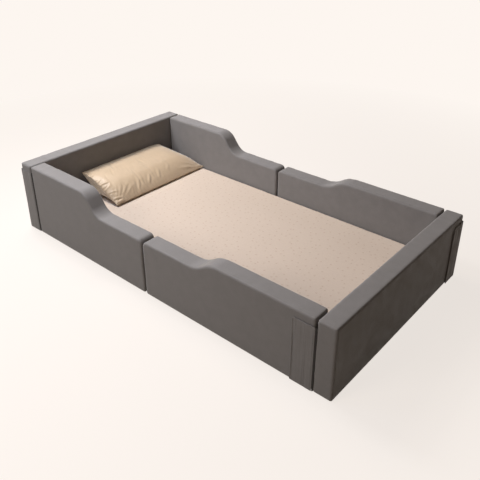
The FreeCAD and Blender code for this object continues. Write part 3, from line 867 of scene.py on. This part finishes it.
def make_mattress(material):
    """The mattress in its ticking, under the sheet, with the slot of its zip below."""
    low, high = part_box("fitted_sheet")
    low = [v + SHEET_INSET for v in low]
    high = [v - SHEET_INSET for v in high]
    block = level_block(low, high, MATTRESS_EDGE - SHEET_INSET, MATTRESS_GRID * 1.5)
    settled = MATTRESS_SETTLE * fade(block.normal[:, 1], 0.2, 0.9)
    mesh = slotted(block.finished(block.relief(71) * 0.6 - settled), "mattress_zip_tapes", 1, low[2])
    mattress = new_piece("mattress_in_ticking", mesh, material)
    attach(mattress, "mattress")
    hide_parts("mattress_cover", "mattress_foam")
    return mattress


def sheet_relief(block):
    """Long faint waves on the sheet's top, and short gathers where it turns over the edge."""
    points = block.points
    high = block.high + block.edge
    on_top = fade(points[:, 1], high - 0.004, high)
    waves = noise(np.stack([points[:, 0] / 0.34, points[:, 2] / 0.13, points[:, 1]], axis=1), 81)
    pulls = noise(np.stack([points[:, 0] / 0.07, points[:, 2] / 0.30, points[:, 1]], axis=1), 82)
    gathers = noise(np.stack([block.along / 0.012, points[:, 1] / 0.06, block.side], axis=1), 83)
    near_edge = np.exp(-block.rim / 0.03) * on_top
    shift = on_top * (0.0008 * waves + 0.0005 * pulls - 0.0013)
    shift += (1 - on_top) * (0.0004 * gathers - 0.0004) + near_edge * (0.0005 * gathers)
    return np.minimum(shift, 0)


def make_sheet(material, rests_on):
    """The fitted sheet: one cloth over the mattress, turned under it to an elastic hem."""
    low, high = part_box("fitted_sheet")
    block = level_block(low, high, MATTRESS_EDGE, MATTRESS_GRID)
    mesh = block.finished(sheet_relief(block))
    hem = (high[0] - SHEET_TURN, high[1] - SHEET_TURN)
    points = points_of(mesh)
    below = points[:, 2] < low[2] + 0.003
    over_hole = below & (np.abs(points[:, 0]) < hem[0] - 0.001) & (np.abs(points[:, 1]) < hem[1] - 0.001)
    shell = bmesh.new()
    shell.from_mesh(mesh)
    shell.verts.ensure_lookup_table()
    bmesh.ops.delete(shell, geom=[shell.verts[i] for i in np.flatnonzero(over_hole)], context="VERTS")
    for vertex in shell.verts:
        if vertex.is_boundary:
            x, y = vertex.co.x, vertex.co.y
            if hem[0] - abs(x) < hem[1] - abs(y):
                vertex.co.x = math.copysign(hem[0], x)
            else:
                vertex.co.y = math.copysign(hem[1], y)
    shell.to_mesh(mesh)
    shell.free()
    mesh = modified(mesh, "SOLIDIFY", thickness=SHEET_CLOTH, offset=-1.0)
    sheet = new_piece("fitted_sheet_cloth", mesh, material)
    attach(sheet, "mattress")
    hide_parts("fitted_sheet")


def make_elastic(material):
    """The gathered elastic round the sheet's hem, a flat band with small ruffles."""
    low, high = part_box("sheet_elastic")
    path = []
    for turn, (x, y) in enumerate(((1, 1), (-1, 1), (-1, -1), (1, -1))):
        centre = (x * (high[0] - HEM_CORNER), y * (high[1] - HEM_CORNER))
        for step in range(5):
            angle = math.pi / 2 * (turn + step / 4)
            path.append((centre[0] + HEM_CORNER * math.cos(angle),
                         centre[1] + HEM_CORNER * math.sin(angle)))
    path.append(path[0])
    line, run = even_steps(path, 0.004)
    line = line[:-1]
    run = run[:-1]
    inward = -line / np.linalg.norm(line, axis=1, keepdims=True)
    ruffle = np.sin(run / 0.0115 * 2 * math.pi)
    middle = (low[2] + high[2]) / 2
    rows = []
    for share in np.linspace(0, 1, 4):
        place = line + inward * (ELASTIC_WIDTH * share + 0.0006 * ruffle * share)[:, None]
        rows.append(np.column_stack([place, middle + 0.0002 * ruffle]))
    mesh = grid_mesh(np.array(rows), closed=True)
    band = new_piece("hem_elastic", thickened(mesh, 0.0006, soft=False), material)
    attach(band, "mattress")
    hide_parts("sheet_elastic")


def make_base_mat(material):
    """The base mat, quilted in diamonds on its top."""
    low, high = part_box("base_mat")
    block = level_block(low, high, MAT_EDGE, MATTRESS_GRID * 1.2)
    x, y = block.points[:, 0], block.points[:, 2]
    lines = np.minimum(*(np.abs(np.sin(math.pi * place / QUILT)) for place in (x + y, x - y)))
    top = fade(block.normal[:, 1], 0.5, 0.9)
    shift = block.relief(91) * 0.3 - top * QUILT_DEPTH * np.exp(-(lines / 0.16) ** 2)
    mat = new_piece("quilted_base_mat", block.finished(shift), material)
    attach(mat, "root")
    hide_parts("base_mat")


# ---- corner wings ----

def turned(box, turn):
    """A box (low, high) after half a turn about the middle, where turn is -1."""
    low, high = box
    return (low, high) if turn > 0 else ([-v for v in high], [-v for v in low])


def end_wall(name):
    """The end wall at this corner."""
    return "head" if "head" in name else "foot"


def make_wing(name, round_corner, turn, material, stitches):
    """One corner wing: its strip and its leaf as one cloth, bent round the leaf's joint where it wraps its
    corner.

    It is laid out for the near side, and turn is -1 where half a turn about the middle moves it.
    """
    path, start, stop, root, leaf_out, strip_out = strip_centres(name, round_corner, turn)
    line, run = even_steps(path, 0.0022 if round_corner else 0.003)
    bottom, top = (corner[2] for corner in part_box(name + "_wing_leaf"))
    reach = run[-1] - run
    to_arc = np.maximum(WING_CORNER - reach, 0)
    trim = WING_CORNER - np.sqrt(np.maximum(WING_CORNER ** 2 - to_arc ** 2, 0))
    levels = np.linspace(0, 1, 64)
    points = np.zeros((len(levels), len(line), 3))
    points[:, :, :2] = line
    points[:, :, 2] = bottom + trim + levels[:, None] * (top - bottom - 2 * trim)
    ahead = np.gradient(line, axis=0)
    ahead /= np.linalg.norm(ahead, axis=1, keepdims=True)
    out = np.column_stack([ahead[:, 1], -ahead[:, 0]])
    if not round_corner:
        out = -out
    x, y, z = points.reshape(-1, 3).T
    lift = noise(np.column_stack([z / 0.05, x / 0.03, y / 0.03]), len(name))
    free_edge = np.tile(np.exp(-reach / 0.010), len(levels))
    groove = np.exp(-((reach - 0.0065) / 0.0022) ** 2) - np.exp(-(reach / 0.003) ** 2)
    pleats = noise(np.column_stack([z / 0.14, x / 0.006, y / 0.006]), len(name) + 1)
    pleats *= 0.35 + 0.65 * fade(z, top - 0.10, top)
    shift = WING_LIFT * np.maximum(lift, -0.2) + free_edge * WING_EDGE_LIFT * np.maximum(lift + 0.3, 0)
    shift = shift - WING_HEM * np.tile(groove, len(levels)) + WING_PLEATS * np.maximum(pleats, -0.3)
    points[:, :, :2] += out[None] * shift.reshape(len(levels), len(line), 1)
    points[:, :, :2] *= turn
    wing = new_piece(name + "_wing", thickened(grid_mesh(points), CLOTH), material)
    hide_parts(name + "_wing_strip", name + "_wing_leaf")
    body = "root" if round_corner else name + "_wall"
    leaf = name + "_leaf"
    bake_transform(wing)

    def upright(place, way):
        """A row of stitches along the height, on the cloth's outer face."""
        x, y = turn * (place[0] + way[0] * CLOTH / 2), turn * (place[1] + way[1] * CLOTH / 2)
        return (x, y, bottom + ROW_END), (x, y, top - ROW_END), (turn * way[0], turn * way[1], 0)

    leaf_end = np.array(path[-1])
    back = unit(np.array(root) - leaf_end)
    leaf_rows = [upright(leaf_end + back * inset, leaf_out) for inset in LEAF_ROWS]
    leaf_rows.append(upright(np.array(root) - back * ROOT_ROW, leaf_out))
    stitch_rows(name + "_leaf_stitches", leaf, leaf_rows, stitches)
    hinge = np.array(path[0])
    along = unit(np.array(path[1]) - hinge)
    strip_rows = [upright(hinge + along * inset, strip_out) for inset in STRIP_ROWS]
    stitch_rows(name + "_strip_stitches", body, strip_rows, stitches)


def strip_centres(name, round_corner, turn):
    """A wing's cloth seen from above, on the near side.

    It gives the cloth's middle line, where its fold starts and stops, the leaf's root, and the ways
    out of the leaf and of the strip.
    """
    strip_low, strip_high = turned(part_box(name + "_wing_strip"), turn)
    leaf_low, leaf_high = turned(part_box(name + "_wing_leaf"), turn)
    hinge_x = strip_high[0] - CAD_CLOTH / 2
    strip_y = (strip_low[1] + strip_high[1]) / 2
    if not round_corner:
        fold_x = strip_low[0] + CAD_CLOTH / 2
        path = [(hinge_x, strip_y), (fold_x, strip_y), (leaf_low[0], strip_y)]
        root = (fold_x, strip_y)
        out = (0.0, -1.0)
        return path, (fold_x + 0.002, strip_y), (fold_x - 0.002, strip_y), root, out, out
    leaf_x = (leaf_low[0] + leaf_high[0]) / 2
    centre = (leaf_x + FOLD_RADIUS, strip_y + FOLD_RADIUS)
    bend = [(centre[0] - FOLD_RADIUS * math.sin(a), centre[1] - FOLD_RADIUS * math.cos(a))
            for a in np.linspace(0, math.pi / 2, 9)]
    path = [(hinge_x, strip_y)] + bend + [(leaf_x, leaf_high[1])]
    root = (leaf_x, strip_y + FOLD_RADIUS)
    return path, bend[0], bend[-1], root, (-1.0, 0.0), (0.0, -1.0)


def make_hinge_web(name, round_corner, turn, material):
    """The sewn seam between a wall's upright edge and the hinge line of its wing's strip."""
    wall_low, _ = turned(wall_box(name if round_corner else end_wall(name)), turn)
    strip_low, strip_high = turned(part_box(name + "_wing_strip"), turn)
    hinge = np.array([strip_high[0] - CAD_CLOTH / 2, (strip_low[1] + strip_high[1]) / 2])
    centre = np.array([wall_low[0] + EDGE, wall_low[1] + EDGE])
    span = np.linalg.norm(centre - hinge)
    ahead = (centre - hinge) / span
    leaf_low, leaf_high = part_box(name + "_wing_leaf")
    heights = np.linspace(leaf_low[2], leaf_high[2], 40)
    reach = np.linspace(CAD_CLOTH / 2, span - EDGE + CAD_CLOTH, 4)
    points = np.zeros((len(heights), len(reach), 3))
    points[:, :, :2] = turn * (hinge + reach[:, None] * ahead)
    points[:, :, 2] = heights[:, None]
    web = new_piece(name + "_hinge_web", thickened(grid_mesh(points), CLOTH * 0.8), material)
    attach(web, name + "_wall" if round_corner else "root")


# ---- pillow ----

def arc_through(first, middle, last, count):
    """Points a steady step apart on the arc through three points of a plane."""
    (ax, ay), (bx, by), (cx, cy) = first, middle, last
    double = 2 * (ax * (by - cy) + bx * (cy - ay) + cx * (ay - by))
    a2, b2, c2 = ax ** 2 + ay ** 2, bx ** 2 + by ** 2, cx ** 2 + cy ** 2
    x = (a2 * (by - cy) + b2 * (cy - ay) + c2 * (ay - by)) / double
    y = (a2 * (cx - bx) + b2 * (ax - cx) + c2 * (bx - ax)) / double
    radius = math.hypot(ax - x, ay - y)
    start = math.atan2(ay - y, ax - x)
    stop = math.atan2(cy - y, cx - x)
    stop = start + math.remainder(stop - start, 2 * math.pi)
    angles = np.linspace(start, stop, count)
    return np.stack([x + radius * np.cos(angles), y + radius * np.sin(angles)], axis=1)


class Pillow:
    """Two panels sewn together round their edge. Rows run from the near side to the far side.

    Columns run from the front seam over the ridge and the crown to the back seam, and the lower
    panel comes back the same way.
    """

    def __init__(self):
        low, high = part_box("pillowcase")
        self.front = high[0]
        self.depth = high[0] - low[0]
        self.base = low[2]
        self.middle = (low[1] + high[1]) / 2
        self.half = (high[1] - low[1]) / 2
        self.rows = int(2 * self.half / PILLOW_GRID)
        self.nose_columns = int(PILLOW_RUNS[0] / PILLOW_GRID)
        self.crown_columns = int(PILLOW_RUNS[1] / PILLOW_GRID)
        self.columns = self.nose_columns + self.crown_columns - 1
        self.build()

    def seam_height(self, share):
        return PILLOW_FRONT_SEAM + share * (PILLOW_BACK_SEAM - PILLOW_FRONT_SEAM)

    def above(self, fullness):
        """The upper panel's line at this fullness, as distances back from the front and up."""
        def place(share, lift):
            return share * self.depth, self.seam_height(share) + lift * fullness
        ridge = place(*PILLOW_RIDGE)
        nose = arc_through(place(0, 0), place(*PILLOW_NOSE), ridge, self.nose_columns)
        crown = arc_through(ridge, place(*PILLOW_CROWN), place(1, 0), self.crown_columns)
        return np.concatenate([nose, crown[1:]])

    def below(self, fullness):
        """The lower panel's line: flat on the bed in the middle of its depth."""
        shares = np.linspace(0, 1, self.columns)
        flat = (self.seam_height(share) for share in PILLOW_FLAT)
        drop = np.interp(shares, (0, *PILLOW_FLAT, 1), (0, *flat, 0))
        return np.stack([shares * self.depth, self.seam_height(shares) - drop * fullness], axis=1)

    def build(self):
        across = np.sin(np.linspace(-math.pi / 2, math.pi / 2, self.rows)) * 0.35
        across += np.linspace(-1, 1, self.rows) * 0.65
        self.top = np.zeros((self.rows, self.columns, 3))
        self.bottom = np.zeros_like(self.top)
        for row, s in enumerate(across):
            fullness = max((1 - abs(s) ** 7) ** 0.5, 0.004)
            for panel, line in ((self.top, self.above(fullness)), (self.bottom, self.below(fullness))):
                share = line[:, 0] / self.depth
                draw = PILLOW_DRAW * (1 - (2 * share - 1) ** 2) * s ** 2
                panel[row, :, 0] = self.front - line[:, 0] * (1 - PILLOW_ROUND * share ** 6 * s ** 12)
                reach = self.half - PILLOW_TAPER * share - draw
                panel[row, :, 1] = self.middle - PILLOW_SKEW * share + s * reach
                panel[row, :, 2] = self.base + line[:, 1]
        self.across = across

    def mesh(self):
        """One closed mesh whose two panels share the points of the seam."""
        count = self.rows * self.columns
        index_top = np.arange(count).reshape(self.rows, self.columns)
        index_bottom = index_top.copy()
        inner = (self.rows - 2) * (self.columns - 2)
        index_bottom[1:-1, 1:-1] = count + np.arange(inner).reshape(self.rows - 2, self.columns - 2)
        points = np.concatenate([self.top.reshape(-1, 3), self.bottom[1:-1, 1:-1].reshape(-1, 3)])
        faces = []
        for i in range(self.rows - 1):
            for j in range(self.columns - 1):
                for index, order in ((index_top, 1), (index_bottom, -1)):
                    face = (index[i, j], index[i + 1, j], index[i + 1, j + 1], index[i, j + 1])
                    faces.append(tuple(int(v) for v in face[::order]))
        seam = np.concatenate([index_top[0], index_top[1:-1, -1],
                               index_top[-1, ::-1], index_top[-2:0:-1, 0]])
        return mesh_of(points.tolist(), faces), seam

    def sculpt(self):
        """Folds over the ridge, gathers at the two sewn sides and rays from the front corners."""
        steps = np.linalg.norm(np.diff(self.top, axis=1), axis=2)
        u = np.pad(np.cumsum(steps, axis=1), ((0, 0), (1, 0)))
        v = self.across[:, None] * self.half * np.ones_like(u)
        near = v + self.half
        far = self.half - v

        def pattern(a, b, seed):
            flat = 0.5 * np.ones(u.size)
            return noise(np.column_stack([a.ravel(), b.ravel(), flat]), seed).reshape(u.shape)

        def crease(start, angle, length, width, depth):
            """A valley with a low bank on each side, which starts at a point (u, v) of the cloth."""
            ahead = (v - start[1]) * math.cos(angle) + (u - start[0]) * math.sin(angle)
            aside = (u - start[0]) * math.cos(angle) - (v - start[1]) * math.sin(angle)
            aside = aside + 0.35 * width * pattern(ahead / 0.05, aside / 0.2, int(1000 * abs(angle)) + 11)
            across = aside / (width * (0.7 + 0.6 * np.clip(ahead / length, 0, 1)))
            along = fade(ahead, 0, 0.2 * length) * (1 - fade(ahead, 0.45 * length, length))
            return -depth * along * (1 - across ** 2) * np.exp(-across ** 2 / 2)

        shift = 0.0018 * pattern(u / 0.09, v / 0.11, 1)
        for angle, length, width, depth in NEAR_RAYS:
            shift += crease((0.004, -self.half + 0.004), math.radians(angle), length, width, depth)
        for angle, length, width, depth in FAR_RAYS:
            shift += crease((0.004, self.half - 0.004), math.radians(180 - angle), length, width, depth)
        for place, across, angle, length, depth in RIDGE_FOLDS:
            shift += crease((place, across), math.radians(angle), length, 0.0085, depth)
        whole = u[self.rows // 2, -1]
        for number in range(SIDE_GATHERS):
            place = whole * (number + 0.6) / SIDE_GATHERS + 0.004 * math.sin(7.1 * number)
            size = 0.75 + 0.25 * math.sin(2.3 * number)
            near_angle = 0.25 * math.sin(3.7 * number)
            far_angle = math.pi + 0.2 * math.sin(4.1 * number)
            shift += crease((place, -self.half), near_angle, 0.085 * size, 0.0062, 0.0036 * size)
            shift += crease((place, self.half), far_angle, 0.06 * size, 0.0075, 0.0020 * size)
        seam = np.minimum(np.minimum(near, far), np.minimum(u, u[:, -1:] - u))
        return shift * fade(seam, 0.0, 0.012)

    def top_normals(self):
        """The way out of the upper panel at each of its points."""
        normal = np.cross(np.gradient(self.top, axis=0), np.gradient(self.top, axis=1))
        return -normal / np.maximum(np.linalg.norm(normal, axis=2, keepdims=True), 1e-12)


def smoothed(values, edges, rounds):
    """The values with each one drawn towards the mean of its neighbours, again and again."""
    count = len(values)
    ends = np.concatenate([edges[:, 0], edges[:, 1]])
    others = np.concatenate([edges[:, 1], edges[:, 0]])
    degree = np.bincount(ends, minlength=count)[:, None]
    for _ in range(rounds):
        total = np.stack([np.bincount(ends, values[others, axis], count) for axis in range(3)], axis=1)
        values = 0.5 * values + 0.5 * total / degree
    return values


def wrinkled(mesh, seam):
    """The points after the cloth has been blown up a little, less its broad change of shape."""
    start = points_of(mesh)
    cloth = placed("cloth", mesh.copy())
    held = cloth.vertex_groups.new(name="held")
    held.add([int(v) for v in seam], 1.0, "REPLACE")
    simulation = cloth.modifiers.new("simulation", "CLOTH")
    settings = simulation.settings
    settings.quality = 6
    settings.mass = 0.15
    settings.tension_stiffness = 12.0
    settings.compression_stiffness = 12.0
    settings.shear_stiffness = 4.0
    settings.bending_stiffness = 0.4
    settings.use_pressure = True
    settings.uniform_pressure_force = 4.0
    settings.shrink_min = -PILLOW_EASE
    settings.vertex_group_mass = held.name
    settings.effector_weights.gravity = 0.0
    for number in range(1, PILLOW_FRAMES + 1):
        bpy.context.scene.frame_set(number)
    moved = points_of(applied(cloth)) - start
    bpy.context.scene.frame_set(1)
    edges = np.array([tuple(edge.vertices) for edge in mesh.edges])
    broad = smoothed(moved, edges, 90)
    change = moved - broad
    length = np.linalg.norm(change, axis=1, keepdims=True)
    across = (start[:, 1] - start[:, 1].min()) / np.ptp(start[:, 1])
    share = 1 - PILLOW_CALM * fade(across, 0.25, 0.6)
    return start + change * share[:, None] * np.minimum(1, PILLOW_CAP / np.maximum(length, 1e-9))


def make_pillow(material, piping):
    shape = Pillow()
    normals = shape.top_normals()
    shape.top += normals * shape.sculpt()[:, :, None]
    mesh, seam = shape.mesh()
    points = wrinkled(mesh, seam)
    low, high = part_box("pillowcase")
    points[:, 0] = np.maximum(points[:, 0], low[0])
    points[:, 1] = np.clip(points[:, 1], low[1] - 0.002, high[1] + 0.002)
    points[:, 2] = np.maximum(points[:, 2], low[2])
    set_points(mesh, points)
    pillow = new_piece("pillow_in_case", modified(mesh, "SUBSURF", levels=1), material)
    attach(pillow, "pillow")
    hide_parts("pillowcase", "pillow_filling")
    cord = tube("pillow_piping", points[seam], PIPING, piping)
    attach(cord, "pillow")


def tube(name, points, radius, material):
    """A closed round tube through these points."""
    data = bpy.data.curves.new(name, "CURVE")
    data.dimensions = "3D"
    data.bevel_depth = radius
    data.bevel_resolution = 2
    spline = data.splines.new("POLY")
    spline.points.add(len(points) - 1)
    spline.points.foreach_set("co", np.column_stack([points, np.ones(len(points))]).ravel())
    spline.use_cyclic_u = True
    return new_piece(name, applied(placed(name + "_line", data)), material)


# ---- the whole scene ----

def dress_nodes(finishes):
    """Gives the CAD nodes that stay in view their materials, by how their names end."""
    for name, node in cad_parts.items():
        for ending, material in finishes.items():
            if name.endswith(ending):
                for slot in node.material_slots:
                    slot.material = material


FABRIC = wall_fabric()
# The hinge web's cloth is darkened to 0.3 of the wall grey: painted shade for the dark gap between a wall
# and its wing
WEB_DARKENED_AS_SHADE = woven("seam_web_painted_shade", darker(WALL_GREY, 0.3), 0.0009, 0.0001)
STITCH_THREAD = woven("thread", darker(WALL_GREY, 0.55), 0.0006, 0.0001, roughness=0.5)
for number, (wall_name, (wall_end, wall_side)) in enumerate(WALLS.items()):
    make_wall(number, wall_name, wall_end, wall_side, FABRIC)
for wing_name, wraps_corner, turn in WINGS:
    make_wing(wing_name, wraps_corner, turn, FABRIC, STITCH_THREAD)
    make_hinge_web(wing_name, wraps_corner, turn, WEB_DARKENED_AS_SHADE)
make_sheet(sheet_cotton(), [make_mattress(patterned("ticking"))])
make_elastic(patterned("elastic"))
make_base_mat(woven("base_cloth", darker(WALL_GREY, 0.6), 0.0016, 0.0002))
# The piping is darkened to 0.8 of the pillowcase's cream: painted shade for the dark line under the pillow's
# seam
make_pillow(pillow_satin(), woven("piping", darker(PILLOW_CREAM, 0.8), 0.0008, 0.0001))

# The middle strips and the base mat's tapes stay as their CAD nodes, and get these materials
dress_nodes({
    "_hook_tape": patterned("hook_tape"), "_loop_patch": patterned("loop_tape"),
    "_zip_tapes": patterned("zip_tape"), "_zip_slider": zip_metal(), "base_grip_sheet": patterned("grip"),
})

make_floor()
make_world()
make_lights()
make_camera()
bpy.context.scene.view_settings.view_transform = "Standard"
